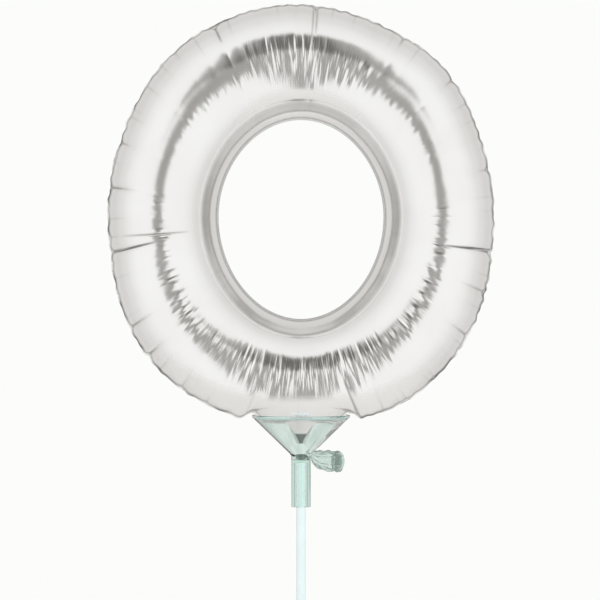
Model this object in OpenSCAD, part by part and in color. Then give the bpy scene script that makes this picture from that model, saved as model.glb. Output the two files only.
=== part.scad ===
// Foil number balloon, the figure nought, on a cup and stick. Millimetres, +Z up, front towards -Y.
// The origin is at the lower end of the stick, on its axis.

/* [Balloon] */
// Width of the inflated balloon over its sealed edge
balloon_w = 194; // [170:1:215]
// Height of the balloon above its middle, to the sealed edge
balloon_up = 105.75; // [98:0.25:112]
// Height of the balloon below its middle, to the sealed edge
balloon_down = 104.25; // [102:0.25:106]
// Squareness of the upper half of the outline, where 2 is an ellipse
upper_n = 2.1; // [1.9:0.05:2.4]
// Squareness of the lower half of the outline
lower_n = 2.25; // [1.9:0.05:2.4]
// Depth of the inflated tube from front to back
tube_d = 46; // [36:1:54]
// Width of the heat-sealed margin round the outside
margin_w = 3; // [1:0.5:4]
// Width of the heat-sealed margin round the hole
hole_margin_w = 1; // [0.5:0.1:2]
// Wall of a foil panel, which is thicker than real foil
foil_t = 0.2; // [0.15:0.05:0.4]

/* [Hole] */
// Width of the hole through the figure
hole_w = 82.5; // [60:0.5:96]
// Height of the hole above the balloon's middle
hole_up = 48.5; // [36:0.5:54]
// Height of the hole below the balloon's middle
hole_down = 51; // [36:0.5:54]
// Squareness of the hole's outline
hole_n = 1.95; // [1.8:0.05:2.2]

/* [Cup holder] */
// Outer diameter of the cup's rim
rim_d = 49; // [44:0.5:52]
// Height of the cup's cone
cone_h = 20; // [18:0.5:22]
// Wall of the cup's cone
cup_wall = 0.8; // [0.6:0.1:1.2]
// Outer diameter of the socket
socket_d = 9.8; // [8.4:0.1:11]
// Length of the socket below the cone
socket_len = 26; // [20:0.5:34]
// Radius of the throat that the filling neck passes
throat_r = 3.4; // [3:0.1:3.6]
// Radius of the window in the side of the throat
window_r = 3.3; // [3:0.1:3.4]

/* [Stick] */
// Outer diameter of the stick
stick_d = 4.8; // [4:0.1:5.4]
// Wall of the stick's tube
stick_wall = 0.7; // [0.4:0.1:1]
// Length of the stick
stick_len = 300; // [200:5:420]
// Diameter of the stick's upper end, which pushes into the socket
spigot_d = 4.6; // [3.8:0.1:5.2]
// Radial gap between the stick's upper end and the socket
stick_gap = 0.04; // [0.02:0.01:0.08]

/* [Tail] */
// Outer diameter of the rolled end
roll_d = 10.8; // [9:0.2:11]
// Thickness of the roll
roll_t = 1.8; // [1.2:0.1:2.2]
// Turn of the rolled end towards the front
roll_turn = 35; // [20:1:45]

/* [Hidden] */

// Heights of the cup, from the stick's top up
shelf_t = 1;
cone_z = stick_len + 3.5;
rim_z = cone_z + cone_h;
socket_z = cone_z - socket_len;
rim_r = rim_d / 2;
socket_r = socket_d / 2;
window_z = cone_z + 0.8;

// The balloon stands in the cup with its lower edge under the rim
balloon_z = rim_z + 99;

// The rim presses a dent into the sealed edge on each side
dent_h = 5.4;
dent_x = rim_r - 2;
dent_w = 3.8;

// Grid of a foil panel: rings round the figure, and points over the tube
rings_n = 84;
arc_n = 11;
crowding = 0.65;

// Superellipse through (w, 0) and (0, h), as the distance from its middle in direction a
function super_r(a, w, h, n) =
    pow(pow(abs(cos(a)) / w, n) + pow(abs(sin(a)) / h, n), -1 / n);

// How far the cup's rim lifts the sealed edge at x
function dent(x) = dent_h * exp(-pow((abs(x) - dent_x) / dent_w, 4));

function edge_free_r(a) = super_r(a, balloon_w / 2,
    sin(a) > 0 ? balloon_up : balloon_down, sin(a) > 0 ? upper_n : lower_n);
function edge_r(a) = edge_free_r(a) - (sin(a) < 0 ? dent(edge_free_r(a) * cos(a)) : 0);
function hole_r(a) = super_r(a, hole_w / 2, sin(a) > 0 ? hole_up : hole_down, hole_n);

// Directions crowd together at the bottom, where the cup dents the edge
function direction(i) = let (u = 360 * i / rings_n) u - 90 - crowding * sin(u) * 180 / PI;

function reversed(list) = [for (i = [len(list) - 1:-1:0]) list[i]];

// Half an ellipse over the tube, from the hole's seam to the outer seam, sunk by inset.
// The lift pulls it inwards, most of all at the outer seam.
function arc(lo, hi, lift, inset) = let (
    half = (hi - lo) / 2 - inset,
    deep = tube_d / 2 - inset,
    start = inset > 0 ? 0 : asin(foil_t / deep))
    [for (j = [0:arc_n]) let (t = start + (180 - 2 * start) * j / arc_n)
        [(lo + hi) / 2 - half * cos(t) - lift * pow((1 - cos(t)) / 2, 4), deep * sin(t)]];

// Section of one panel in direction a, as points [distance, depth]:
// out over the tube from the hole's margin, then back along the inside of the foil
function section(a) = let (
    lift = edge_free_r(a) - edge_r(a),
    lo = hole_r(a) + hole_margin_w,
    hi = edge_free_r(a) - margin_w,
    tip = edge_r(a))
    concat([[lo - hole_margin_w, 0], [lo - hole_margin_w, foil_t]],
        arc(lo, hi, lift, 0),
        [[tip, foil_t], [tip, 0]],
        reversed(arc(lo, hi, lift, foil_t)));

// A ring of section points, on the front for side -1 and on the rear for side 1
function ring(a, side) =
    [for (p = section(a)) [p[0] * cos(a), side * p[1], balloon_z + p[0] * sin(a)]];

// Quads between neighbouring rings, as triangles, in either winding
function wall_faces(rows, cols, closed, flip) =
    [for (i = [0:rows - (closed ? 1 : 2)], j = [0:cols - 1]) let (
        a = i * cols + j,
        b = i * cols + (j + 1) % cols,
        c = (i + 1) % rows * cols + (j + 1) % cols,
        d = (i + 1) % rows * cols + j)
        each (flip ? [[a, b, c], [a, c, d]] : [[a, c, b], [a, d, c]])];

// Closed solid through rings of points, with a flat cap at each end
module loft(rings) {
    rows = len(rings);
    cols = len(rings[0]);
    top = (rows - 1) * cols;
    start_cap = [for (j = [0:cols - 1]) j];
    end_cap = [for (j = [cols - 1:-1:0]) top + j];
    polyhedron([for (r = rings) each r],
        concat(wall_faces(rows, cols, false, false), [start_cap], [end_cap]));
}

// One half of the balloon's skin: a foil shell over half of the tube, with its sealed margins
module foil_panel(side) {
    rings = [for (i = [0:rings_n - 1]) ring(direction(i), side)];
    polyhedron([for (r = rings) each r],
        wall_faces(rings_n, len(rings[0]), true, side < 0));
}

module front_foil_panel() {
    color("gainsboro") foil_panel(-1);
}

module rear_foil_panel() {
    color("gainsboro") foil_panel(1);
}

// Flat plastic strip of the self-sealing valve, narrowed where the neck gathers it
module valve_film(y) {
    film_t = 0.12;
    low = cone_z + 6;
    high = balloon_z - balloon_down + 34;
    waist = balloon_z - balloon_down - 2;
    color("azure") translate([0, y + film_t / 2, 0]) rotate([90, 0, 0])
        linear_extrude(height = film_t)
            polygon([[-2, low], [2, low], [5, waist], [9, waist + 12], [9, high],
                [-9, high], [-9, waist + 12], [-5, waist]]);
}

module valve_film_front() {
    valve_film(-0.1);
}

module valve_film_rear() {
    valve_film(0.1);
}

// Ellipse of points lying flat at height z
function flat_ring(rx, ry, z) =
    [for (j = [0:15]) [rx * cos(j * 22.5), ry * sin(j * 22.5), z]];

// Gathered foil between the balloon's lower edge and the throat
module filling_neck() {
    top = balloon_z - balloon_down + 0.6;
    foot = cone_z + 4.2;
    color("silver") loft([
        flat_ring(2, 1.9, foot),
        flat_ring(2.6, 2.2, foot + 2),
        flat_ring(4.6, 2.4, foot + 5.5),
        flat_ring(7, 2.2, foot + 9),
        flat_ring(8.4, 1.4, top)]);
}

// Ellipse of points standing across the tail at x
function tail_ring(x, ry, rz, z) =
    [for (j = [0:15]) [x, ry * cos(j * 22.5), z + rz * sin(j * 22.5)]];

// Gathered film drawn out of the window, widening to its rolled end
module filling_tail() {
    z = window_z;
    color("paleturquoise") loft([
        tail_ring(3.2, 1.5, 1.4, z),
        tail_ring(5.4, 2, 2, z - 0.5),
        tail_ring(7.2, 2.8, 2.9, z - 2.3),
        tail_ring(9.6, 3.3, 4.1, z - 3.1),
        tail_ring(13, 3.3, 4.7, z - 3.6),
        tail_ring(16.2, 2.8, 4.7, z - 3.9),
        tail_ring(18.2, 2.2, 4.2, z - 4.1)]);
}

// Rolled end of the film, an open ring turned part way to the front
module tail_roll() {
    color("mediumaquamarine") translate([18.4, 0, window_z - 4.1]) rotate([0, 0, -roll_turn])
        rotate([0, 90, 0]) rotate_extrude($fn = 48)
            translate([(roll_d - roll_t) / 2, 0]) circle(d = roll_t, $fn = 20);
}

// Cone, throat, shelf and socket in one moulding
module cup_holder() {
    shelf_z = stick_len + shelf_t;
    lip = 1.1;
    bore_r = spigot_d / 2 + stick_gap;
    slope = (rim_r - socket_r) / cone_h;
    inner_low_z = cone_z + (throat_r + cup_wall * 1.3 - socket_r) / slope;
    color("paleturquoise") difference() {
        rotate_extrude($fn = 96)
            polygon([
                [bore_r, stick_len], [bore_r, socket_z + 0.8], [bore_r + 0.4, socket_z],
                [socket_r - 0.3, socket_z], [socket_r, socket_z + 0.3], [socket_r, cone_z],
                [rim_r - 0.2, rim_z - lip - 0.2], [rim_r, rim_z - lip], [rim_r, rim_z - 0.2],
                [rim_r - 0.2, rim_z], [rim_r - cup_wall + 0.1, rim_z],
                [rim_r - cup_wall, rim_z - 0.2],
                [rim_r - cup_wall * 1.3, rim_z - lip * 0.7],
                [throat_r, inner_low_z], [throat_r, shelf_z], [0, shelf_z], [0, stick_len]]);
        translate([0, 0, window_z]) rotate([0, 90, 0]) cylinder(h = 12, r = window_r, $fn = 64);
    }
}

// Plastic tube, drawn in a little at the end that pushes into the socket
module stick() {
    shoulder_z = socket_z - 0.5;
    color("lightcyan") rotate_extrude($fn = 64)
        polygon([
            [stick_d / 2 - stick_wall, 0], [stick_d / 2, 0], [stick_d / 2, shoulder_z - 0.5],
            [spigot_d / 2, shoulder_z], [spigot_d / 2, stick_len],
            [stick_d / 2 - stick_wall, stick_len]]);
}

front_foil_panel();
rear_foil_panel();
valve_film_front();
valve_film_rear();
filling_neck();
filling_tail();
tail_roll();
cup_holder();
stick();
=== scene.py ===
import math

import bmesh
import bpy
import numpy as np
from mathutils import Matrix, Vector


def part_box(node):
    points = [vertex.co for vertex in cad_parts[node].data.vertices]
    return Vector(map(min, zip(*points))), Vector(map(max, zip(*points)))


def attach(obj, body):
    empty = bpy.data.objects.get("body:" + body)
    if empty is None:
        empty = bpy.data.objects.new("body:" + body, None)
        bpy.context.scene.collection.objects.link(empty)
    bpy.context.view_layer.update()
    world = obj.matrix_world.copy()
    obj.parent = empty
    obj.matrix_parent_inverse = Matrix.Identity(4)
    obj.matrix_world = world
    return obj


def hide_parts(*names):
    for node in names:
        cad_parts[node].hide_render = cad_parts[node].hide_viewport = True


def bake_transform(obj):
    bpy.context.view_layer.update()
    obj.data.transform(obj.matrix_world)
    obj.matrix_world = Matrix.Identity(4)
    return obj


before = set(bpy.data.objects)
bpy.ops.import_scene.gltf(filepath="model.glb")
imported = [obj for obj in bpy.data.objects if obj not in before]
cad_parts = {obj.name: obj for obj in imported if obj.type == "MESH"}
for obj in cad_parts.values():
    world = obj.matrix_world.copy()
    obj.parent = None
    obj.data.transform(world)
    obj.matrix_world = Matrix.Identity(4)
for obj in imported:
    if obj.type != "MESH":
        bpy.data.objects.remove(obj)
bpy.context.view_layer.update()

mm = 0.001
fullTurn = 2 * math.pi

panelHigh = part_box("front_foil_panel")[1]
cupLow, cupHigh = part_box("cup_holder")
stickLow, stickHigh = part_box("stick")
rollLow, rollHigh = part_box("tail_roll")


def smoothStep(low, high, value):
    # 0 below low, 1 above high, an S curve between
    t = np.clip((value - low) / (high - low), 0, 1)
    return t * t * (3 - 2 * t)


def superRadius(angle, halfWidth, height, power):
    # how far |x / halfWidth|^power + |z / height|^power = 1 lies from its middle in this direction
    wide = np.abs(np.cos(angle) / halfWidth) ** power
    tall = np.abs(np.sin(angle) / height) ** power
    return (wide + tall) ** (-1 / power)


def wrapped(angle):
    return (angle + math.pi) % fullTurn - math.pi


def smoothNoise(rng, angle, waves, lowest=1):
    # a sum of whole waves round the circle with random phases, about 1 high
    total = np.zeros_like(angle)
    for k in range(lowest, lowest + waves):
        total += np.cos(k * angle + rng.uniform(0, fullTurn)) * rng.uniform(0.4, 1)
    return total / math.sqrt(waves * 0.27)


def gridObject(name, points, closedU=True, closedV=False, uv=None, marks=None):
    # quads between neighbouring points of an array shaped (v, u, 3); the last column or row can join the
    # first; the sign of the volume inside tells which way round the corners go
    rows, columns = points.shape[:2]
    v = np.arange(rows if closedV else rows - 1)[:, None]
    u = np.arange(columns if closedU else columns - 1)[None, :]
    a = v * columns + u
    b = v * columns + (u + 1) % columns
    c = (v + 1) % rows * columns + (u + 1) % columns
    d = (v + 1) % rows * columns + u
    quads = np.stack([a, b, c, d], axis=-1).reshape(-1, 4)
    corner = points.reshape(-1, 3)[quads]
    across = np.cross(corner[:, 2] - corner[:, 0], corner[:, 3] - corner[:, 1])
    if (corner.mean(axis=1) * across).sum() < 0:
        quads = quads[:, ::-1]
    mesh = bpy.data.meshes.new(name)
    mesh.vertices.add(rows * columns)
    mesh.vertices.foreach_set("co", points.reshape(-1).astype(np.float32))
    mesh.loops.add(quads.size)
    mesh.loops.foreach_set("vertex_index", quads.reshape(-1).astype(np.int32))
    mesh.polygons.add(len(quads))
    mesh.polygons.foreach_set("loop_start", np.arange(0, quads.size, 4, dtype=np.int32))
    mesh.polygons.foreach_set("use_smooth", np.ones(len(quads), bool))
    mesh.update(calc_edges=True)
    if uv is not None:
        layer = mesh.uv_layers.new(name="surface")
        layer.data.foreach_set("uv", uv.reshape(-1, 2)[quads.reshape(-1)].reshape(-1).astype(np.float32))
    for mark, values in (marks or {}).items():
        layer = mesh.attributes.new(mark, "FLOAT", "POINT")
        layer.data.foreach_set("value", values.reshape(-1).astype(np.float32))
    made = bpy.data.objects.new(name, mesh)
    bpy.context.scene.collection.objects.link(made)
    return made


def closePoles(piece, around):
    # the first and the last ring of points, each drawn almost to a point, become one point each
    grid = bmesh.new()
    grid.from_mesh(piece.data)
    grid.verts.ensure_lookup_table()
    rings = (grid.verts[:around], grid.verts[-around:])
    for ring in rings:
        pole = sum((point.co for point in ring), Vector()) / around
        bmesh.ops.pointmerge(grid, verts=ring, merge_co=pole)
    grid.to_mesh(piece.data)
    grid.free()
    return piece


def lathe(name, corners, segments=160, closed=True, facets=4):
    # a profile of corners (radius, height, fillet), each rounded by a parabola, turned round Z
    corners = np.array(corners, float)
    ahead = np.roll(corners, -1, axis=0) - corners
    behind = np.roll(corners, 1, axis=0) - corners
    ahead /= np.linalg.norm(ahead[:, :2], axis=1, keepdims=True)
    behind /= np.linalg.norm(behind[:, :2], axis=1, keepdims=True)
    t = np.linspace(0, 1, facets + 1)[None, :, None]
    middle = corners[:, None, :2]
    reach = corners[:, 2][:, None, None]
    profile = (middle + (1 - t) ** 2 * behind[:, None, :2] * reach + t ** 2 * ahead[:, None, :2] * reach)
    profile = profile.reshape(-1, 2)
    turn = np.linspace(0, fullTurn, segments, endpoint=False)
    points = np.stack([profile[:, :1] * np.cos(turn), profile[:, :1] * np.sin(turn),
                       np.broadcast_to(profile[:, 1:], (len(profile), segments))], axis=-1)
    return gridObject(name, points, closedU=True, closedV=closed)


def thinShell(name, skin, wall, uv=None):
    # the skin of a tube as (ring, turn, 3), closed into a wall by a second skin set in along the normals
    alongV = np.gradient(skin, axis=0)
    alongU = np.roll(skin, -1, axis=1) - np.roll(skin, 1, axis=1)
    normal = np.cross(alongU, alongV)
    normal /= np.maximum(np.linalg.norm(normal, axis=-1, keepdims=True), 1e-12)
    spread = skin[0] - skin[0].mean(axis=0)
    normal *= np.sign((normal[0] * spread).sum())
    points = np.concatenate([skin, (skin - wall * normal)[::-1]])
    return gridObject(name, points, closedU=True, closedV=True, uv=uv)


def finishPiece(piece, material, body=None, replaced=()):
    piece.data.materials.append(material)
    if body:
        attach(piece, body)
    if replaced:
        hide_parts(*replaced)
    return piece


def letLightThrough(piece):
    # clear pieces cast no shade on what lies in or behind them
    piece.visible_shadow = False
    piece.visible_diffuse = False
    piece.visible_glossy = False


class Value:
    # a socket that takes part in Python arithmetic; each operation adds a Math node
    def __init__(self, finish, socket):
        self.finish = finish
        self.socket = socket

    def join(self, operation, first, second):
        return self.finish.node("ShaderNodeMath", {"operation": operation}, {0: first, 1: second})

    def __add__(self, other):
        return self.join("ADD", self, other)

    def __sub__(self, other):
        return self.join("SUBTRACT", self, other)

    def __rsub__(self, other):
        return self.join("SUBTRACT", other, self)

    def __mul__(self, other):
        return self.join("MULTIPLY", self, other)

    def __truediv__(self, other):
        return self.join("DIVIDE", self, other)

    __radd__ = __add__


class Finish:
    # a node tree that is filled by one method
    def __init__(self, tree):
        self.tree = tree
        tree.nodes.clear()

    def node(self, kind, settings=None, inputs=None, output=0):
        made = self.tree.nodes.new(kind)
        for name, value in (settings or {}).items():
            if name == "stops":
                while len(made.color_ramp.elements) < len(value):
                    made.color_ramp.elements.new(1)
                for element, (place, tone) in zip(made.color_ramp.elements, value):
                    element.position = place
                    element.color = (*tone, 1) if isinstance(tone, tuple) else (tone, tone, tone, 1)
            else:
                setattr(made, name, value)
        for name, value in (inputs or {}).items():
            if isinstance(value, Value):
                self.tree.links.new(value.socket, made.inputs[name])
            else:
                made.inputs[name].default_value = value
        return None if output is None else Value(self, made.outputs[output])

    def ramp(self, value, *stops):
        return self.node("ShaderNodeValToRGB", {"stops": stops}, {0: value})

    def height(self, place):
        return self.node("ShaderNodeSeparateXYZ", None, {0: place}, 2)

    def ease(self, value, low, high, first=0.0, last=1.0):
        # from first at low to last at high, an S curve between
        return self.node("ShaderNodeMapRange", {"interpolation_type": "SMOOTHSTEP"},
                         {"Value": value, 1: low, 2: high, 3: first, 4: last})

    def mix(self, share, first, second):
        return self.node("ShaderNodeMix", {"data_type": "RGBA"}, {0: share, 6: first, 7: second}, 2)


def newMaterial(name):
    material = bpy.data.materials.new(name)
    material.use_nodes = True
    return material, Finish(material.node_tree)


def principled(finish, inputs):
    shader = finish.node("ShaderNodeBsdfPrincipled", None, inputs)
    finish.node("ShaderNodeOutputMaterial", None, {"Surface": shader}, None)


def foilMaterial(name, roughness, shaded=None):
    # metallised film: bright, a little soft, with hair creases that run across the tube
    material, finish = newMaterial(name)
    place = finish.node("ShaderNodeTexCoord", None, None, "Object")
    across = finish.node("ShaderNodeUVMap", {"uv_map": "surface"})
    crumple = finish.node("ShaderNodeAttribute", {"attribute_name": "crumple"}, None, "Fac")
    fold = finish.node("ShaderNodeAttribute", {"attribute_name": "fold"}, None, "Fac")
    stretched = finish.node("ShaderNodeMapping", None, {"Vector": across, "Scale": (1500, 130, 1)})
    hair = finish.node("ShaderNodeTexNoise", None, {"Vector": stretched, "Scale": 1, "Detail": 2})
    hair = hair * (0.06 + crumple)
    cloud = finish.node("ShaderNodeTexNoise", None, {"Vector": place, "Scale": 38, "Detail": 2})
    grain = finish.node("ShaderNodeTexNoise", None, {"Vector": place, "Scale": 900, "Detail": 2})
    tint = finish.ramp(cloud, (0.35, (0.905, 0.895, 0.885)), (0.65, (0.93, 0.928, 0.925)))
    if shaded:
        # painted shade: dark below this height, where the tight gathers lie in shade, light above the other
        rise = finish.ease(finish.height(place), *shaded)
        tint = finish.ramp(rise, (0.0, (0.17, 0.19, 0.18)), (1.0, (1.0, 0.94, 0.935)))
    # painted shade: the colour darkens along the thin lines that the mesh marks at folds, puckers, welds
    # and the hole's seam
    tint = finish.mix(fold, tint, (0.16, 0.155, 0.145, 1))
    roughness = roughness + cloud * 0.05 + grain * 0.04
    hairBump = finish.node("ShaderNodeBump", None, {"Height": hair, "Strength": 0.12, "Distance": 0.0003})
    bump = finish.node("ShaderNodeBump", None,
                       {"Height": grain, "Strength": 0.08, "Distance": 0.0001, "Normal": hairBump})
    principled(finish, {"Base Color": tint, "Metallic": 0.3 if shaded else 1.0,
                        "Roughness": roughness, "Normal": bump})
    return material


def plasticMaterial(name, skin, roughness, grainScale, bumpStrength, clearness,
                    absorbed=None, paintedGlow=0, rim=None):
    # moulded plastic or film: a nearly clear skin, slightly uneven, that darkens with its thickness;
    # absorbed is what a metre of it takes out of red, green and blue; the glow strength is painted light,
    # an emission for a piece that is no lamp
    material, finish = newMaterial(name)
    place = finish.node("ShaderNodeTexCoord", None, None, "Object")
    cloud = finish.node("ShaderNodeTexNoise", None, {"Vector": place, "Scale": grainScale, "Detail": 3})
    pale = tuple(min(1, 1.02 * c) for c in skin)
    deep = tuple(0.96 * c for c in skin)
    tint = finish.ramp(cloud, (0.35, deep), (0.65, pale))
    if rim:
        # streaks, partly moulding flow marks and partly painted light and dark rays: noise read from the
        # direction around the axis, so that each lasts from foot to rim; and a deeper colour above a
        # height, painted shade for the rim's lip, which looks denser where it is seen edge on
        flat = finish.node("ShaderNodeVectorMath", {"operation": "MULTIPLY"}, {0: place, 1: (1, 1, 0.02)})
        around = finish.node("ShaderNodeVectorMath", {"operation": "NORMALIZE"}, {0: flat})
        streak = finish.node("ShaderNodeTexNoise", None,
                             {"Vector": around, "Scale": rim["streaks"], "Detail": 3})
        tint = finish.ramp(streak, (0.36, rim["deep"]), (0.5, deep), (0.62, pale))
        rise = finish.ease(finish.height(place), rim["from"], rim["to"])
        tint = finish.mix(rise, tint, (*rim["tint"], 1))
    bump = finish.node("ShaderNodeBump", None,
                       {"Height": cloud, "Strength": bumpStrength, "Distance": 0.0004})
    shader = finish.node("ShaderNodeBsdfPrincipled", None, {
        "Base Color": tint, "Roughness": roughness + cloud * 0.06, "Normal": bump,
        "Transmission Weight": clearness, "IOR": 1.45,
        "Emission Color": (*skin, 1), "Emission Strength": paintedGlow})
    outputs = {"Surface": shader}
    if absorbed:
        most = max(absorbed)
        passed = tuple(1 - a / most for a in absorbed)
        outputs["Volume"] = finish.node("ShaderNodeVolumeAbsorption", None,
                                        {"Color": (*passed, 1), "Density": most})
    finish.node("ShaderNodeOutputMaterial", None, outputs, None)
    return material


rimZ = cupHigh.z
coneHeight = 20 * mm
coneZ = rimZ - coneHeight
coneInset = 1.1 * mm      # the cone's wall along the radius, and a little more
rimRadius = cupHigh.x
socketRadius = 4.9 * mm
coneSlope = (rimRadius - socketRadius) / (rimZ - coneZ)

foil = {
    "columns": 1120,
    "arcRows": 74,
    "insideRows": 6,      # coarse, because nothing sees the inner face
    "halfWidth": panelHigh.x,
    "up": 105.75 * mm,
    "down": 104.25 * mm,
    "upperPower": 2.1,
    "lowerPower": 2.25,
    "holeHalfWidth": 41.25 * mm,
    "holeUp": 48.5 * mm,
    "holeDown": 51 * mm,
    "holePower": 1.95,
    "depth": 23 * mm,
    "crest": 0.54,        # where the tube is deepest, from the hole's seam (0) to the outer edge (1)
    # these five are rounded from the same fit as the tent's tones
    "shoulder": 6,        # squareness of the tube's outer half, mixed with a round one
    "roundness": 0.68,
    "flank": 1.4 * mm,    # how much the wall next to the hole is drawn in, and where
    "flankPlace": 0.082,
    "flankWidth": 0.067,
    "clearance": 0.6 * mm,      # between the foil and the cup, and how much more of it for each metre to
    "rock": 0.2,                # the front or rear, so that the balloon can rock
    "seat": 320.1 * mm,         # the seam's lowest height in the cup
    "slopeBeside": 5 * mm,      # width of the seam's rise on each side of the cup
    "margin": 0.9 * mm,
    "holeMargin": 0.9 * mm,
    "film": 0.12 * mm,
    # where the columns stand closer: direction, half-width in degrees, and how much closer
    "crowding": [(94, 24, 1.6), (273, 36, 1.6), (205, 34, 0.7), (-25, 34, 0.7), (187.5, 0.9, 4),
                 (190.6, 0.8, 4), (-10.8, 1.6, 4), (114.6, 1, 1.5), (85.9, 1, 2)],
    "puckers": 74,
    # directions in which the seam is drawn in hard
    "notches": (157.7, 171.3, 190.6, 213.1, 222.3, 114.6, 85.9, 14.1, -10.8, -22.4, -35.7, -74.4, 60, 42),
    "puckerDepth": (0.25 * mm, 0.95 * mm),
    "puckerWidth": (1.2 * mm, 2.6 * mm),
    "puckerLength": (3 * mm, 11 * mm),
    "foldWidth": 0.5 * mm,       # painted shade: folds, puckers, welds and the hole's seam are darkened in thin lines
    "puckerDark": 0.9,
    "weldWidth": 0.6 * mm,
    "weldDark": 0.7,
    "holeDark": 0.15,
    "holeCup": 0.28 * mm,   # how far back the hole's margin leans
    "lump": 0.42 * mm,       # the outline's unevenness: slow lumps and fine raggedness
    "ragged": 0.16 * mm,
    "ruffle": 0.22 * mm,     # how far the seam waves to the front and rear
    "scallop": 1.0 * mm,     # how far a hard pucker draws the seam in
    "curl": 0.5,         # how far the margin curls back, in radians, and how much that varies
    "curlSpread": 0.30,
    "swell": 0.035 * mm,   # slow unevenness of the skin
    "crumpleDepth": 0.13 * mm,    # of the pleats that carry the most hair creases
    "innerDepth": 2.2 * mm,        # how far in the panel's unseen inner face lies
    "pressSoftness": 0.5 * mm,    # how softly the foil meets the cone's wall
    "measureRadius": 75 * mm,     # turns directions into lengths for the surface map
}
middleZ = panelHigh.z - foil["up"]

# short pleats across the crest of the tube: where they are, how many, and how long, high and wide
pleatFamilies = [
    {"span": (79, 109), "count": 46, "centre": 0.53, "wander": 0.13, "reach": (0.10, 0.26),
     "depth": 0.13 * mm, "width": (0.32 * mm, 0.85 * mm)},
    {"span": (58, 80), "count": 26, "centre": 0.48, "wander": 0.08, "reach": (0.06, 0.16),
     "depth": 0.10 * mm, "width": (0.3 * mm, 0.7 * mm)},
    {"span": (20, 60), "count": 44, "centre": 0.47, "wander": 0.04, "reach": (0.03, 0.07),
     "depth": 0.07 * mm, "width": (0.35 * mm, 0.7 * mm)},
    {"span": (108, 158), "count": 52, "centre": 0.45, "wander": 0.05, "reach": (0.03, 0.09),
     "depth": 0.07 * mm, "width": (0.35 * mm, 0.7 * mm)},
    {"span": (244, 304), "count": 104, "centre": 0.53, "wander": 0.13, "reach": (0.10, 0.24),
     "depth": 0.13 * mm, "width": (0.32 * mm, 0.85 * mm)},
    {"span": (168, 246), "count": 92, "centre": 0.51, "wander": 0.05, "reach": (0.05, 0.12),
     "depth": 0.11 * mm, "width": (0.35 * mm, 0.8 * mm)},
    {"span": (-58, 12), "count": 82, "centre": 0.50, "wander": 0.05, "reach": (0.05, 0.12),
     "depth": 0.11 * mm, "width": (0.35 * mm, 0.8 * mm)},
]

# long single creases: their direction, the stretch across the tube, their lean, painted shade along them,
# height and width
longCreases = [
    {"angle": 187.2, "start": 0.24, "end": 0.88, "lean": -2.5,
     "dark": 0.5, "depth": -0.62 * mm, "width": 0.42 * mm},
    {"angle": 190.6, "start": 0.52, "end": 1.05, "lean": 1.5,
     "dark": 0.85, "depth": -0.75 * mm, "width": 0.42 * mm},
    {"angle": -10.8, "start": 0.50, "end": 1.08, "lean": 3.6,
     "dark": 0.9, "depth": -0.8 * mm, "width": 0.42 * mm},
    {"angle": 85.4, "start": 0.72, "end": 1.05, "lean": 0,
     "dark": 0.4, "depth": -0.28 * mm, "width": 0.4 * mm},
    {"angle": 86.5, "start": 0.70, "end": 1.05, "lean": 0,
     "dark": 0.4, "depth": 0.28 * mm, "width": 0.4 * mm},
    {"angle": 114.6, "start": 0.82, "end": 1.08, "lean": 0,
     "dark": 0.6, "depth": -0.5 * mm, "width": 0.5 * mm},
    {"angle": -74.4, "start": 0.60, "end": 1.10, "lean": 4.5,
     "dark": 0.65, "depth": -0.5 * mm, "width": 0.6 * mm},
    {"angle": 254.8, "start": 0.70, "end": 1.08, "lean": -3.0,
     "dark": 0.15, "depth": -0.35 * mm, "width": 0.8 * mm},
]


def holeRadius(angle):
    height = np.where(np.sin(angle) > 0, foil["holeUp"], foil["holeDown"])
    return superRadius(angle, foil["holeHalfWidth"], height, foil["holePower"])


def freeEdgeRadius(angle):
    above = np.sin(angle) > 0
    height = np.where(above, foil["up"], foil["down"])
    power = np.where(above, foil["upperPower"], foil["lowerPower"])
    return superRadius(angle, foil["halfWidth"], height, power)


def coneWall(radius):
    # height of the cup's inner wall at this distance from the axis, level with the rim at most
    return np.minimum(coneZ + (radius + coneInset - socketRadius) / coneSlope, rimZ) + foil["clearance"]


def cupLift(angle):
    # how far the edge is pressed up to lie in the cup and pass over its rim, and the slope beside it
    radius = freeEdgeRadius(angle)
    x = np.abs(radius * np.cos(angle))
    z = middleZ + radius * np.sin(angle)
    seat = np.maximum(coneWall(x), foil["seat"])
    lift = np.where((x < rimRadius + 0.5 * mm) & (z < middleZ), np.maximum(seat - z, 0), 0)
    beside = (1 - smoothStep(0, foil["slopeBeside"], x - rimRadius)) * (z < middleZ) * (x > rimRadius)
    lift = np.maximum(lift, lift.max() * beside)
    kernel = np.exp(-0.5 * (np.arange(-5, 6) / 1.6) ** 2)
    padded = np.concatenate([lift[-5:], lift, lift[:5]])
    return np.convolve(padded, kernel / kernel.sum(), "valid")


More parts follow.
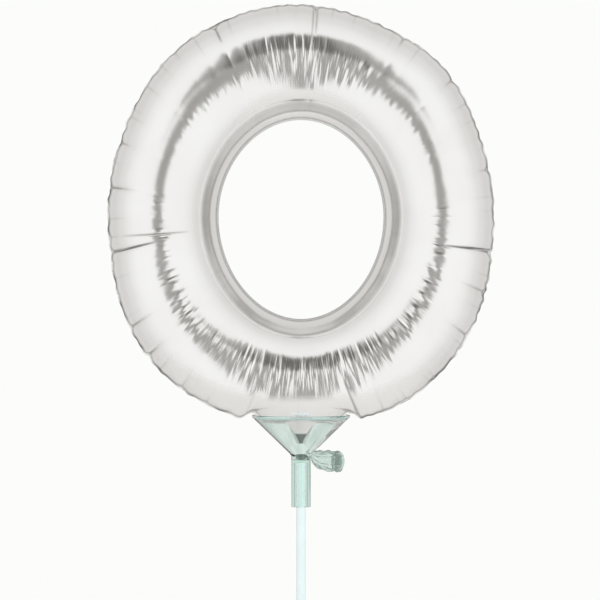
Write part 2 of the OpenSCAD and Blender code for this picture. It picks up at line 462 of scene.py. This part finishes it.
def stampCrease(height, fold, angle, across, arcRadius, crease):
    # a pointed ridge or groove along a line across the tube: depth times exp of minus the distance from the
    # line over the width, times (1 - t^2)^2 where t runs from -1 to 1 along the line
    middle = (crease["start"] + crease["end"]) / 2
    reach = (crease["end"] - crease["start"]) / 2
    rows = np.nonzero(np.abs(across - middle) < reach)[0]
    if not len(rows):
        return
    line = math.radians(crease["angle"]) + math.radians(crease["lean"]) * (across[rows] - middle)
    near = np.abs(wrapped(angle - line.mean())) < 7 * crease["width"] / (60 * mm) + abs(np.ptp(line))
    columns = np.nonzero(near)[0]
    offset = wrapped(angle[columns][None, :] - line[:, None]) * arcRadius[np.ix_(rows, columns)]
    sharp = np.exp(-(np.sqrt((offset / crease["width"]) ** 2 + 0.05) - 0.22))
    along = (1 - ((across[rows] - middle) / reach) ** 2) ** 2
    height[np.ix_(rows, columns)] += crease["depth"] * sharp * along[:, None]
    # painted shade: a thin dark line along the crease
    if "dark" in crease:
        fade = 1 - ((across[rows] - middle) / reach) ** 4
        line = np.exp(-(offset / foil["foldWidth"]) ** 2) * fade[:, None]
        fold[np.ix_(rows, columns)] = np.maximum(fold[np.ix_(rows, columns)], crease["dark"] * line)


def seamPuckers(rng):
    # where the welded edge is drawn in, and how hard
    count = foil["puckers"]
    places = (np.arange(count) + rng.uniform(-0.38, 0.38, count)) * fullTurn / count
    strength = 0.3 * rng.uniform(0, 1, count) ** 1.6
    for notch in foil["notches"]:
        nearest = np.argmin(np.abs(wrapped(places - math.radians(notch))))
        places[nearest] = math.radians(notch)
        strength[nearest] = rng.uniform(0.6, 1)
    return {"angle": places, "strength": strength,
            "width": rng.uniform(*foil["puckerWidth"], count),
            "length": rng.uniform(*foil["puckerLength"], count)}


def puckerShape(angle, radius, puckers):
    # the sum of pointed grooves at the edge, one for each pucker
    total = np.zeros_like(angle)
    for place, strength, width in zip(puckers["angle"], puckers["strength"], puckers["width"]):
        offset = wrapped(angle - place) * radius
        total += strength ** 1.5 * np.exp(-np.sqrt((offset / width) ** 2 + 0.03) + 0.17)
    return total


def edgeLine(rng, angle, puckers):
    # what both panels share along the outer seam: the free outline, the cup's lift, and its unevenness
    free = freeEdgeRadius(angle)
    lift = cupLift(angle)
    pull = puckerShape(angle, free, puckers) * (1 - 0.9 * smoothStep(0, 1 * mm, lift))
    wave = smoothNoise(rng, angle, 34, 6)
    tilt = smoothNoise(rng, angle, 44, 14)
    lump = smoothNoise(rng, angle, 9, 2)
    ragged = smoothNoise(rng, angle, 90, 40)
    return {"free": free, "lift": lift, "wave": wave, "tilt": tilt, "scallop": foil["scallop"] * pull,
            "lump": foil["lump"] * lump, "ragged": foil["ragged"] * ragged}


def tubeSection(rows, span):
    # the tube's front half as (place across, depth), evenly spaced along its length: half an ellipse from
    # the hole's seam to the crest, a mix of an ellipse and a squarer superellipse from the crest to the
    # outer seam, with the wall near the hole drawn in by a bell curve
    turn = np.linspace(0, math.pi, 4001)
    place = (1 - np.cos(turn)) / 2
    crest = foil["crest"]
    inward = np.clip((crest - place) / crest, 0, 1)
    outward = np.clip((place - crest) / (1 - crest), 0, 1)
    square = (1 - outward ** foil["shoulder"]) ** (1 / foil["shoulder"])
    outer = foil["roundness"] * np.sqrt(1 - outward ** 2) + (1 - foil["roundness"]) * square
    depth = foil["depth"] * np.sqrt(1 - inward ** 2) * outer
    bell = np.exp(-((place - foil["flankPlace"]) / foil["flankWidth"]) ** 2)
    depth -= foil["flank"] * bell * smoothStep(0, 0.02, place)
    length = np.concatenate([[0], np.cumsum(np.hypot(np.diff(place) * span, np.diff(depth)))])
    first = np.argmax(depth > foil["film"])
    last = len(depth) - 1 - np.argmax(depth[::-1] > foil["film"])
    even = np.linspace(length[first], length[last], rows)
    return np.interp(even, length, place), np.interp(even, length, depth), even


def foilPanel(name, side, seed, edge, angle, puckers, creases):
    rng = np.random.default_rng(seed)
    rows = foil["arcRows"]
    film = foil["film"]
    inner = holeRadius(angle) + foil["holeMargin"]
    outer = edge["free"] - foil["margin"] - edge["scallop"] + edge["lump"]
    halfSpan = (outer - inner) / 2
    across, profile, along = tubeSection(rows, 2 * halfSpan.mean())
    distance = inner[None, :] + 2 * halfSpan[None, :] * across[:, None]
    inset = edge["lift"] - edge["ragged"] * (1 - smoothStep(0, 1 * mm, edge["lift"]))
    distance -= edge["lift"][None, :] * (across ** 8)[:, None]
    distance += (edge["lift"] - inset)[None, :] * (across ** 30)[:, None]
    depth = profile[:, None] * np.ones_like(distance)
    arcRadius = distance.copy()

    height = np.zeros_like(distance)
    crumple = np.zeros_like(distance)
    fold = np.zeros_like(distance)
    for family in pleatFamilies:
        low, high = family["span"]
        count = family["count"]
        places = low + (np.arange(count) + rng.uniform(-0.4, 0.4, count)) * (high - low) / count
        spread = smoothStep(0, 5, np.degrees(wrapped(angle - math.radians(low)))) * smoothStep(
            0, 5, np.degrees(wrapped(math.radians(high) - angle)))
        reach = family["wander"] + np.mean(family["reach"])
        band = np.exp(-((across - family["centre"]) / reach) ** 4)
        amount = family["depth"] / foil["crumpleDepth"]
        crumple = np.maximum(crumple, amount * band[:, None] * spread[None, :])
        for place in places:
            middle = family["centre"] + family["wander"] * rng.uniform(-1, 1)
            reach = rng.uniform(*family["reach"])
            fade = 1 - 0.7 * abs(2 * (place - low) / (high - low) - 1) ** 3
            stampCrease(height, fold, angle, across, arcRadius, {
                "angle": place, "start": middle - reach, "end": middle + reach,
                "lean": rng.uniform(-3, 3), "width": rng.uniform(*family["width"]),
                "depth": family["depth"] * fade * rng.choice([-1, -0.8, 0.7, 1]) * rng.uniform(0.3, 1.3)})
    for crease in creases:
        stampCrease(height, fold, angle, across, arcRadius, crease)

    # puckers run in from the outer seam and fade
    gap = (1 - across)[:, None] * 2 * halfSpan[None, :]
    measures = (puckers[k] for k in ("angle", "strength", "width", "length"))
    for place, strength, width, length in zip(*measures):
        near = np.nonzero(np.abs(wrapped(angle - place)) < 9 * width / (90 * mm))[0]
        run = gap[:, near]
        offset = wrapped(angle[near] - place)[None, :] * arcRadius[:, near]
        spread = width * (0.7 + 0.6 * run / length)
        low, high = foil["puckerDepth"]
        groove = np.exp(-np.sqrt((offset / spread) ** 2 + 0.04) + 0.2) * np.exp(-run / length)
        height[:, near] -= (low + (high - low) * strength) * groove * rng.uniform(0.6, 1.1)
        # painted shade: a thin dark line down the pucker's groove
        line = strength * np.exp(-(offset / foil["foldWidth"]) ** 2 - (run / (0.8 * length)) ** 2)
        fold[:, near] = np.maximum(fold[:, near], foil["puckerDark"] * line)

    # slow unevenness
    for _ in range(60):
        k = rng.integers(3, 36)
        n = rng.uniform(0.5, 4)
        size = foil["swell"] / (1 + 0.05 * k) * rng.uniform(0.3, 1) / 2.2
        swell = np.cos(k * angle + rng.uniform(0, fullTurn))[None, :]
        height += size * swell * np.cos(math.pi * n * across + rng.uniform(0, fullTurn))[:, None]
    height *= smoothStep(0, 3 * mm, profile)[:, None]

    # move the skin along its own normal
    skin = np.stack([distance * np.cos(angle), side * depth, middleZ + distance * np.sin(angle)], axis=-1)
    alongV = np.gradient(skin, axis=0)
    alongU = np.roll(skin, -1, axis=1) - np.roll(skin, 1, axis=1)
    normal = np.cross(alongU, alongV)
    normal /= np.linalg.norm(normal, axis=-1, keepdims=True)
    normal *= np.sign((normal[rows // 2, :, 1] * side).mean())
    inside = skin[np.linspace(2, rows - 3, foil["insideRows"]).astype(int)]
    insideNormal = normal[np.linspace(2, rows - 3, foil["insideRows"]).astype(int)]
    skin = skin + normal * height[..., None]

    # the seam's ruffle carries a little way into the skin
    ruffle = foil["ruffle"] * edge["wave"]
    calm = 1 - 0.85 * smoothStep(0, 1.5 * mm, edge["lift"])
    skin[..., 1] += (ruffle * calm)[None, :] * np.exp(-gap / (3 * mm))

    def band(reach, offset, swing):
        # one line of the welded margin: reach outwards along the tilted margin, offset to this panel's side
        out = outer - inset + reach * np.cos(swing)
        y = ruffle * calm + reach * np.sin(swing) + side * offset
        return np.stack([out * np.cos(angle), y, middleZ + out * np.sin(angle)], axis=-1)

    def holeBand(radius, offset):
        # one line of the hole's margin
        return np.stack([radius * np.cos(angle), np.full_like(angle, side * offset),
                         middleZ + radius * np.sin(angle)], axis=-1)

    swing = (foil["curl"] + foil["curlSpread"] * edge["tilt"]) * calm
    margin = foil["margin"]
    holeEdge = holeRadius(angle)
    lean = side * foil["holeCup"]
    outside = [holeBand(holeEdge, lean), holeBand(holeEdge, film + lean)]
    outside += [skin[j] for j in range(rows)]
    outside += [band(margin * part, film, swing * part) for part in (0.2, 0.5, 0.8, 1.0)]
    outside += [band(margin, 0, swing), band(0.1 * mm, 0, swing)]
    # the inner face: shallow at both seams, deeper between them
    bulge = np.sin(np.linspace(0.12, math.pi - 0.12, len(inside)))
    depthInside = np.minimum(foil["innerDepth"], 0.2 * mm + foil["innerDepth"] * bulge)
    within = inside - insideNormal * depthInside[:, None, None]
    outside += [within[j] for j in range(len(within) - 1, -1, -1)]
    outside += [holeBand(inner - 0.1 * mm, 0)]
    points = np.stack(outside)

    # where the foil lies in the cup it follows the cone's wall
    radius = np.hypot(points[..., 0], points[..., 1])
    over = coneWall(radius) + foil["rock"] * np.abs(points[..., 1]) - points[..., 2]
    soft = foil["pressSoftness"]
    nearCup = 1 - smoothStep(rimRadius + 0.6 * mm, rimRadius + 6 * mm, radius)
    press = soft * np.logaddexp(0, over / soft) * nearCup
    points[..., 2] += np.where(points[..., 2] < middleZ, press, 0)

    strip = np.concatenate([[0, 0], along, np.full(len(points) - rows - 2, along[-1])])
    uv = np.stack(np.broadcast_arrays(angle[None, :] * foil["measureRadius"], strip[:, None]), axis=-1)
    # painted shade: the weld beside the skin is darkened, unevenly so, as a dark outline along the seam
    weldShade = np.clip(0.7 + 0.5 * edge["wave"] + 0.35 * edge["tilt"], 0.1, 1.5)
    weld = foil["weldDark"] * weldShade[None, :] * calm ** 2
    fold = np.maximum(fold, weld * np.exp(-(gap / foil["weldWidth"]) ** 2))
    marks = {"crumple": np.zeros(points.shape[:2]), "fold": np.zeros(points.shape[:2])}
    marks["crumple"][2:rows + 2] = crumple
    marks["fold"][2:rows + 2] = fold
    # painted shade on the welded margin itself
    marks["fold"][rows + 2:rows + 4] = weld
    # painted shade: a faint dark line along the hole's seam
    marks["fold"][:2] = foil["holeDark"]
    return gridObject(name, points, closedU=True, closedV=True, uv=uv, marks=marks)


print("foil panels")
fineAngle = np.linspace(0, fullTurn, 14401)
closeness = np.ones_like(fineAngle)
for place, halfWidth, more in foil["crowding"]:
    closeness += more * np.exp(-(wrapped(fineAngle - math.radians(place)) / math.radians(halfWidth)) ** 4)
share = np.concatenate([[0], np.cumsum((closeness[1:] + closeness[:-1]) / 2)])
angle = np.interp(np.arange(foil["columns"]) / foil["columns"], share / share[-1], fineAngle)
shared = np.random.default_rng(41)
puckers = seamPuckers(shared)
edge = edgeLine(shared, angle, puckers)
silver = foilMaterial("silverFoil", 0.10)
frontPanel = foilPanel("foilFront", -1, 7, edge, angle, puckers, longCreases)
rearPanel = foilPanel("foilRear", 1, 19, edge, angle, puckers, longCreases[-2:])
finishPiece(frontPanel, silver, "balloon", ["front_foil_panel"])
finishPiece(rearPanel, silver, "balloon", ["rear_foil_panel"])


print("cup")
cup = {
    "wall": 0.8 * mm,
    "lip": 1.1 * mm,
    "throatRadius": 3.4 * mm,
    "boreRadius": 2.36 * mm,
    "shelf": 3.5 * mm,          # from the cone's foot down to the stick's end
    "shelfThickness": 1 * mm,
    "windowRadius": 3.27 * mm,  # just clear of the shelf
    "windowHeight": 0.8 * mm,   # of the window's middle above the cone's foot
}


def makeCup():
    low = cupLow.z
    stickEnd = coneZ - cup["shelf"]
    wall = cup["wall"] * 1.3
    top = rimRadius - cup["wall"]
    footZ = coneZ + (cup["throatRadius"] + wall - socketRadius) / coneSlope
    corners = [
        (socketRadius, coneZ, 1.2 * mm), (rimRadius - 0.35 * mm, rimZ - cup["lip"] - 0.2 * mm, 0.3 * mm),
        (rimRadius, rimZ - cup["lip"], 0.2 * mm), (rimRadius, rimZ, 0.4 * mm), (top, rimZ, 0.35 * mm),
        (top - 0.2 * mm, rimZ - cup["lip"], 0.4 * mm), (cup["throatRadius"], footZ, 0.8 * mm),
        (cup["throatRadius"], stickEnd + cup["shelfThickness"], 0.4 * mm),
        (0.02 * mm, stickEnd + cup["shelfThickness"], 0), (0.02 * mm, stickEnd, 0),
        (cup["boreRadius"], stickEnd, 0.2 * mm), (cup["boreRadius"], low + 0.6 * mm, 0.2 * mm),
        (cup["boreRadius"] + 0.4 * mm, low, 0.15 * mm), (socketRadius, low, 0.5 * mm)]
    made = lathe("cupHolder", corners)
    # the window is drilled from the axis outwards towards +X
    drilled = cup["windowRadius"]
    depth = 12 * mm
    around = np.linspace(0, fullTurn, 48, endpoint=False)
    rings = [[[x, r * math.cos(a), coneZ + cup["windowHeight"] + r * math.sin(a)] for a in around]
             for x, r in ((0, 1e-6), (0, drilled), (depth, drilled), (depth, 1e-6))]
    drill = closePoles(gridObject("drill", np.array(rings)), len(around))
    cut = made.modifiers.new("window", "BOOLEAN")
    cut.operation = "DIFFERENCE"
    cut.solver = "EXACT"
    cut.object = drill
    applied = bpy.data.meshes.new_from_object(made.evaluated_get(bpy.context.evaluated_depsgraph_get()))
    made.modifiers.clear()
    made.data = applied
    applied.materials.clear()
    bpy.data.objects.remove(drill)
    return made


# painted light and shade in the cup's streaks and in the deeper colour at its rim
aqua = plasticMaterial("aquaPlastic", (0.925, 0.975, 0.957), 0.04, 50, 0.05, 0.97, (50, 18, 28), 0, {
    "streaks": 3.2, "deep": (0.80, 0.875, 0.84), "from": rimZ - 2.6 * mm, "to": rimZ - 1.4 * mm,
    "tint": (0.74, 0.90, 0.885)})
cupPiece = finishPiece(makeCup(), aqua, "holder", ["cup_holder"])
letLightThrough(cupPiece)


print("stick")
stickShape = {"radius": 2.4 * mm, "bore": 1.7 * mm, "spigot": 2.3 * mm}
shoulder = cupLow.z - 0.7 * mm
# painted light: the stick glows a little, so that it looks lit inside the socket
pale = plasticMaterial("stickPlastic", (0.82, 0.95, 0.955), 0.25, 45, 0.06, 0.0, None, 0.05)
finishPiece(lathe("stickTube", [
    (stickShape["bore"], stickHigh.z, 0.15 * mm), (stickShape["bore"], stickLow.z, 0.15 * mm),
    (stickShape["radius"], stickLow.z, 0.2 * mm), (stickShape["radius"], shoulder, 0.2 * mm),
    (stickShape["spigot"], shoulder + 0.3 * mm, 0.1 * mm), (stickShape["spigot"], stickHigh.z, 0.15 * mm)],
    96), pale, "stick", ["stick"])


print("neck and tail")
neck = {"low": 309.6 * mm, "high": 321.4 * mm, "foot": (0.9 * mm, 0.9 * mm), "top": (8.6 * mm, 0.4 * mm),
        "folds": 0.16, "wall": 0.1 * mm, "shade": (314.1 * mm, 315.2 * mm)}


def makeNeck():
    # flattened rings, wide and thin at the seam, round and gathered in the throat
    t = np.linspace(0, 1, 40)
    flare = t ** 1.5
    height = neck["low"] + (neck["high"] - neck["low"]) * t
    wide = neck["foot"][0] + (neck["top"][0] - neck["foot"][0]) * flare
    deep = neck["foot"][1] + (neck["top"][1] - neck["foot"][1]) * t
    rng = np.random.default_rng(5)
    phases = rng.uniform(0, fullTurn, 6)

    def gathers(turn):
        # whole waves round the ring, deepest at the foot, drifting a little on their way up
        total = sum(np.cos(k * turn[None, :] + phase + 1.2 * t[:, None]) / (1 + 0.1 * k)
                    for k, phase in zip((5, 7, 9, 11, 14, 19), phases))
        return neck["folds"] * 0.45 * total * (1 - 0.75 * smoothStep(0.2, 1, t))[:, None]

    turn = np.linspace(0, fullTurn, 200, endpoint=False)
    swell = 1 + gathers(turn)
    skin = np.stack([wide[:, None] * np.cos(turn) * swell, deep[:, None] * np.sin(turn) * swell,
                     np.broadcast_to(height[:, None], swell.shape)], axis=-1)
    uv = np.stack(np.broadcast_arrays(turn[None, :] * 4 * mm, height[:, None]), axis=-1)
    return thinShell("fillingNeck", skin, neck["wall"], np.concatenate([uv, uv[::-1]]))


neckPiece = makeNeck()
neckPiece.data.materials.append(foilMaterial("gatheredFoil", 0.55, neck["shade"]))
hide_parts("filling_neck")
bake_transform(neckPiece)

# the tail's rings: distance out, half-depth, half-height and drop of the middle, all in mm, and the turn
# towards the front in degrees
tail = {
    "rings": np.array([(2.6, 1.5, 1.4, 0, 0), (4.7, 2.1, 2.2, -0.3, 0), (5.7, 2.7, 3.3, -1.5, 0),
                       (8.6, 3.5, 4.2, -3.0, 0), (12.6, 3.6, 4.7, -3.6, 4), (16.2, 3.4, 4.7, -3.9, 18),
                       (18.2, 3.6, 4.2, -4.1, 33), (18.6, 3.2, 3.7, -4.1, 35), (17.7, 2.4, 2.8, -4.1, 35),
                       (16.6, 1.2, 1.6, -4.0, 35), (16.0, 0.25, 0.4, -3.9, 35)]),
    "axisZ": 304.3 * mm,
    "wall": 0.15 * mm,
    "gathers": 0.15,
    "kinks": 0.055,
}


def smoothPath(points, count):
    # a Catmull-Rom curve through rows of values
    ends = np.concatenate([[2 * points[0] - points[1]], points, [2 * points[-1] - points[-2]]])
    place = np.linspace(0, len(points) - 1 - 1e-9, count)
    k = place.astype(int)
    t = (place - k)[:, None]
    a, b, c, d = (ends[k + n] for n in range(4))
    square = (2 * a - 5 * b + 4 * c - d) * t ** 2
    cube = (3 * b - a - 3 * c + d) * t ** 3
    return 0.5 * (2 * b + (c - a) * t + square + cube)


def makeTail():
    # rings along a curve; sharp gathers, made of folded cosines, run along it and wander, and small kinks
    # cross it
    count = 170
    rings = smoothPath(tail["rings"], count)
    t = np.linspace(0, 1, count)[:, None]
    turn = np.linspace(0, fullTurn, 240, endpoint=False)[None, :]
    rng = np.random.default_rng(12)
    total = np.zeros((count, turn.size))
    for k in (2, 3, 4, 5, 7, 9, 12):
        drift = rng.uniform(0, fullTurn)
        drift = drift + rng.uniform(1, 2.6) * np.sin(rng.uniform(3, 6) * t + rng.uniform(0, 6))
        total += (np.abs(np.cos(k * turn + drift)) - 0.64) / (1 + 0.2 * k)
    kinks = np.sin(52 * t + 3 * np.sin(2 * turn + 1) + 2 * np.sin(3 * turn + 5 * t))
    swell = 1 + (tail["gathers"] * total + tail["kinks"] * kinks) * smoothStep(0, 0.2, t)
    x, deep, tall, drop, lean = (rings[:, k:k + 1] for k in range(5))
    lean = np.radians(lean)
    sideways = deep * np.cos(turn) * swell
    skin = np.stack([x + np.sin(lean) * sideways, np.cos(lean) * sideways,
                     tail["axisZ"] / mm + drop + tall * np.sin(turn) * swell], axis=-1) * mm
    return thinShell("fillingTail", skin, tail["wall"])


roll = {"tube": 0.95 * mm, "turn": math.radians(35)}
rollMiddle = (rollLow + rollHigh) / 2


def makeRoll():
    # a torus whose tube is a rolled film: ridges run round it and shallow wrinkles cross it
    middle = rollMiddle
    radius = (rollHigh.z - rollLow.z) / 2 - roll["tube"]
    around = np.linspace(0, fullTurn, 180, endpoint=False)[None, :]
    section = np.linspace(0, fullTurn, 48, endpoint=False)[:, None]
    thick = roll["tube"] * (0.92 + 0.12 * np.cos(4 * section + around)
                            + 0.05 * np.cos(17 * around + 2 * section)
                            + 0.08 * np.cos(7 * around + 1.0) + 0.05 * np.cos(11 * around - section))
    out = radius + thick * np.cos(section)
    lift = thick * np.sin(section)
    across = out * np.cos(around)
    c, n = math.cos(roll["turn"]), math.sin(roll["turn"])
    # the ring's axis points along +X, turned towards the front
    points = np.stack([middle.x + lift * c + across * n, middle.y - lift * n + across * c,
                       middle.z + out * np.sin(around)], axis=-1)
    return gridObject("tailRoll", points, closedU=True, closedV=True)


def makeWad(name, middle, size, crumples, seed, turn=0.0):
    # a crumpled lump: a squashed ball whose radius varies by a sum of folded cosines in both directions
    poleGap = 1e-3
    down = np.linspace(poleGap, math.pi - poleGap, 60)[:, None]
    around = np.linspace(0, fullTurn, 120, endpoint=False)[None, :]
    rng = np.random.default_rng(seed)
    folds = np.zeros((down.size, around.size))
    for k in (2, 3, 5, 7, 10):
        bend = rng.uniform(0, fullTurn)
        bend = bend + rng.uniform(1, 3) * np.sin(rng.integers(2, 5) * down + rng.uniform(0, 6))
        folds += (np.abs(np.cos(k * around + bend)) - 0.64) / (1 + 0.2 * k)
    radius = 1 + crumples * folds * np.sin(down) ** 2
    x, y, z = (radius * part for part in (np.sin(down) * np.cos(around), np.sin(down) * np.sin(around),
                                          np.cos(down) * np.ones_like(around)))
    c, n = math.cos(turn), math.sin(turn)
    x, y = size[0] * x * c + size[1] * y * n, size[1] * y * c - size[0] * x * n
    made = gridObject(name, np.stack([middle[0] + x, middle[1] + y, middle[2] + size[2] * z], axis=-1))
    return closePoles(made, around.size)


film = plasticMaterial("tailFilm", (0.97, 0.99, 0.98), 0.05, 260, 0.35, 0.96, (1250, 640, 880))
folded = plasticMaterial("foldedFilm", (0.96, 0.985, 0.975), 0.08, 260, 0.35, 0.96, (700, 560, 620))
thick = plasticMaterial("rolledFilm", (0.96, 0.985, 0.975), 0.05, 260, 0.35, 0.96, (330, 215, 262))
tailPiece = makeTail()
tailPiece.data.materials.append(film)
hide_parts("filling_tail")
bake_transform(tailPiece)
rollPiece = finishPiece(makeRoll(), thick, "tail", ["tail_roll"])
# partly the tail's film crumpled into the ring, partly a dark lump that stands in for the shade inside it
plug = makeWad("rollPlug", rollMiddle, (0.7 * mm, 3.6 * mm, 3.6 * mm), 0.10, 23, roll["turn"])
finishPiece(plug, folded, "tail")
# partly the gathered tail that runs through the throat, partly a dark lump that stands in for the shade at
# the socket's top
wad = makeWad("throatWad", (0, 0, coneZ - 1.0 * mm), (2.9 * mm, 1.7 * mm, 1.55 * mm), 0.12, 31)
finishPiece(wad, folded, "holder")
for piece in (tailPiece, rollPiece, plug, wad):
    letLightThrough(piece)

valve = plasticMaterial("valveFilm", (0.95, 0.97, 0.96), 0.1, 80, 0.05, 0.9)
for name in ("valve_film_front", "valve_film_rear"):
    for place in bpy.data.objects[name].material_slots:
        place.material = valve


print("studio")
studio = {
    # the tent's tone by the angle from the camera's side, in degrees; the stops up to 106 are rounded from
    # a least-squares fit of the tent to the tube's section, and the rest are set one by one
    "shell": [(0, 0.99), (40, 0.96), (58, 0.87), (70, 0.79), (82, 0.77), (94, 0.72), (106, 0.70),
              (118, 0.70), (132, 0.73), (146, 0.62), (160, 0.38), (180, 0.32)],
    "clearFrom": (118, 158),  # clear plastic sees a white wall behind it beyond these angles
    "gapWide": (-8, 5),       # the dark gap that the camera looks through: sideways and up, in degrees
    "gapTall": (-52, 34),
    "gapSoft": 5,
    "gapTone": 0.36,
    "barWide": (-15, 14),     # a darker bar across it, above the camera
    "barTall": (11, 33),
    "barSoft": 3,
    "barTone": 0.13,
}


def buildWorld():
    # a white tent with a dark upright slot where the camera looks in; what the camera sees past the object,
    # and what the clear plastic lets through from behind, is plain white
    world = bpy.data.worlds.new("tent")
    world.use_nodes = True
    bpy.context.scene.world = world
    finish = Finish(world.node_tree)
    way = finish.node("ShaderNodeTexCoord", None, None, "Generated")
    x, y, z = (finish.node("ShaderNodeSeparateXYZ", None, {0: way}, k) for k in range(3))
    degreesPerRadian = 57.2958
    sideways = finish.node("ShaderNodeMath", {"operation": "ARCTAN2"}, {0: x, 1: y * -1}) * degreesPerRadian
    upward = finish.node("ShaderNodeMath", {"operation": "ARCSINE"}, {0: z}) * degreesPerRadian
    turned = finish.node("ShaderNodeMath", {"operation": "ARCCOSINE"}, {0: y * -1}) * degreesPerRadian
    shell = finish.ramp(turned / 180, *[(place / 180, tone) for place, tone in studio["shell"]])

    def between(value, low, high, soft):
        # 1 between low and high, with soft edges of this many degrees
        rise = finish.ease(value, low - soft / 2, low + soft / 2)
        return rise * finish.ease(value, high - soft / 2, high + soft / 2, 1.0, 0.0)

    gap = between(sideways, *studio["gapWide"], studio["gapSoft"])
    gap = gap * between(upward, *studio["gapTall"], studio["gapSoft"] * 1.5)
    bar = between(sideways, *studio["barWide"], studio["barSoft"])
    bar = bar * between(upward, *studio["barTall"], studio["barSoft"] * 1.5)
    barShare = studio["barTone"] / studio["gapTone"]
    tent = shell * (1 - gap * (1 - studio["gapTone"])) * (1 - bar * (1 - barShare))
    tone = finish.ramp(tent, (0.2, (1.04, 1.0, 0.945)), (0.9, (1.0, 1.0, 0.992)))
    lit = finish.node("ShaderNodeBackground", None, {"Color": tone, "Strength": tent})
    plain = finish.node("ShaderNodeBackground", None, {"Color": (0.972, 0.98, 0.965, 1), "Strength": 1})
    seen = finish.node("ShaderNodeLightPath", None, None, "Is Camera Ray")
    through = finish.node("ShaderNodeLightPath", None, None, "Is Transmission Ray")
    behind = finish.ease(turned, *studio["clearFrom"])
    seen = finish.node("ShaderNodeMath", {"operation": "MAXIMUM"}, {0: seen, 1: through * behind})
    both = finish.node("ShaderNodeMixShader", None, {0: seen, 1: lit, 2: plain})
    finish.node("ShaderNodeOutputWorld", None, {"Surface": both}, None)


buildWorld()

floorTurn = np.linspace(0, fullTurn, 96, endpoint=False)
floor = gridObject("floor", np.array([
    [[radius * math.cos(a), radius * math.sin(a), stickLow.z] for a in floorTurn]
    for radius in (0.001, 0.25, 0.6)]))
floorMaterial, floorFinish = newMaterial("paleFloor")
spot = floorFinish.node("ShaderNodeTexCoord", None, None, "Object")
reach = floorFinish.node("ShaderNodeVectorMath", {"operation": "LENGTH"}, {0: spot}, "Value")
fade = floorFinish.ease(reach, 0.2, 0.58, 1.0, 0.0)
principled(floorFinish, {"Base Color": (0.93, 0.93, 0.915, 1), "Roughness": 0.8, "Alpha": fade})
floor.data.materials.append(floorMaterial)

# a soft light for the matt and clear pieces alone, since the tent is what the foil mirrors
fillData = bpy.data.lights.new("softFill", "AREA")
fillData.shape = "DISK"
fillData.size = 1.6
fillData.energy = 9
fill = bpy.data.objects.new("softFill", fillData)
bpy.context.scene.collection.objects.link(fill)
fill.location = (0.5, -1.4, 1.5)
fill.rotation_euler = (math.radians(48), 0, math.radians(19))
fill.visible_glossy = False
fill.visible_transmission = False

cameraData = bpy.data.cameras.new("camera")
camera = bpy.data.objects.new("camera", cameraData)
bpy.context.scene.collection.objects.link(camera)
viewDistance = 1.5
viewWidth = 0.3
cameraData.sensor_width = 36
cameraData.lens = 36 * viewDistance / viewWidth
camera.location = (-0.0005, -viewDistance, 0.381)
camera.rotation_euler = (math.pi / 2, 0, 0)
bpy.context.scene.camera = camera
bpy.context.scene.view_settings.view_transform = "Standard"

print("done")
